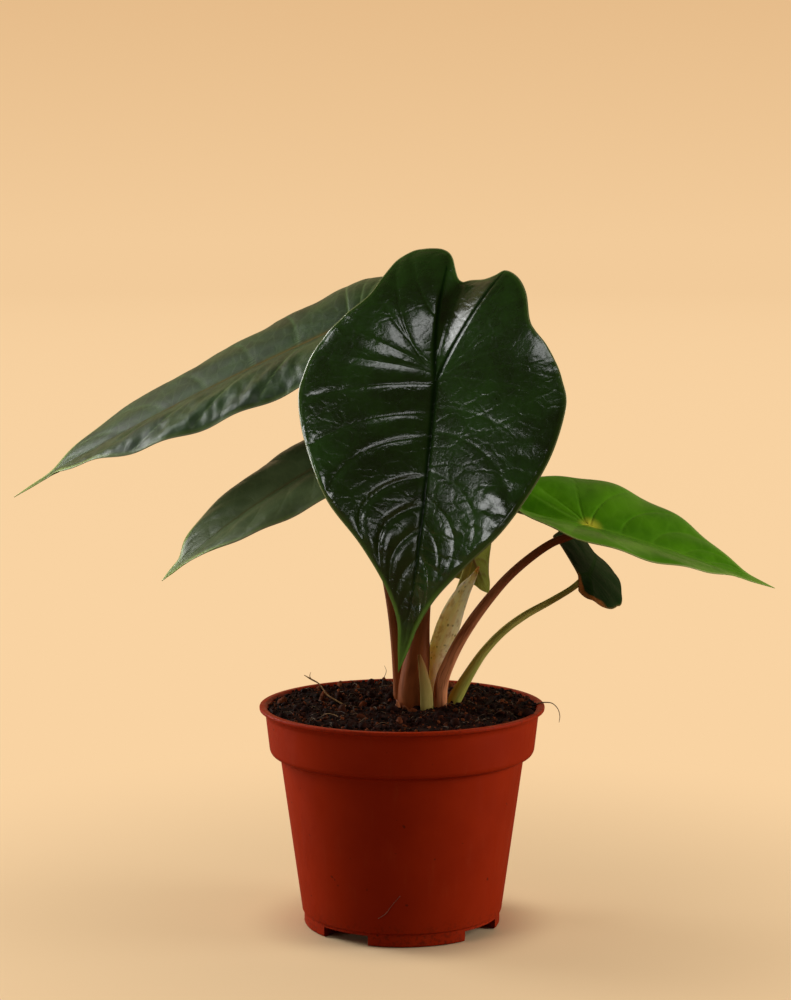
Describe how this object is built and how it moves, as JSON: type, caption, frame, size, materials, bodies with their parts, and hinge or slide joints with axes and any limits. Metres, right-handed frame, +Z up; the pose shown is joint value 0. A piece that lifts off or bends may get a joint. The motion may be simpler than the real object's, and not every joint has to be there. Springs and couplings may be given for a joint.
{
  "type": "potted alocasia scalprum",
  "caption": "Young aroid house plant with long arrow-shaped ribbed leaves on arching stalks, growing in soil in a thin terracotta-coloured nursery pot.",
  "frame": {"origin": "on the pot's axis, in the plane that the pot stands on", "axes": "+Z up along the pot's axis, -Y towards the plant's front, where the largest leaf faces, +X to the right of a viewer in front"},
  "size_m": [0.3349, 0.1793, 0.2852],
  "materials": {
    "pot": "thin moulded terracotta-coloured plastic with a soft satin sheen",
    "soil": "moist crumbly dark brown compost with paler fibres and bark crumbs",
    "crown": "rough brown rootstock with papery scale remnants",
    "shoot": "pale olive-brown rolled leaf, satin, with fine dark specks",
    "sheath": "pale olive green, satin",
    "stalk_brown": "smooth satin brown, greener towards the blade",
    "stalk_green": "smooth satin olive green",
    "leaf_mature": "glossy dark green with impressed veins and a thin pale margin",
    "leaf_young": "glossy bright green with impressed veins",
    "leaf_olive": "satin yellow-green with a brownish midrib"
  },
  "bodies": {
    "root": {"pot": "pot", "soil": "soil", "crown": "crown", "new_shoot": "shoot", "sheath": "sheath", "stalk_front": "stalk_brown", "leaf_front": "leaf_mature", "stalk_long": "stalk_brown", "leaf_long": "leaf_mature", "stalk_left": "stalk_brown", "leaf_left": "leaf_mature", "stalk_young": "stalk_brown", "leaf_young": "leaf_young", "stalk_right": "stalk_green", "leaf_right": "leaf_mature", "stalk_back": "stalk_green", "leaf_back": "leaf_olive"}
  },
  "joints": []
}
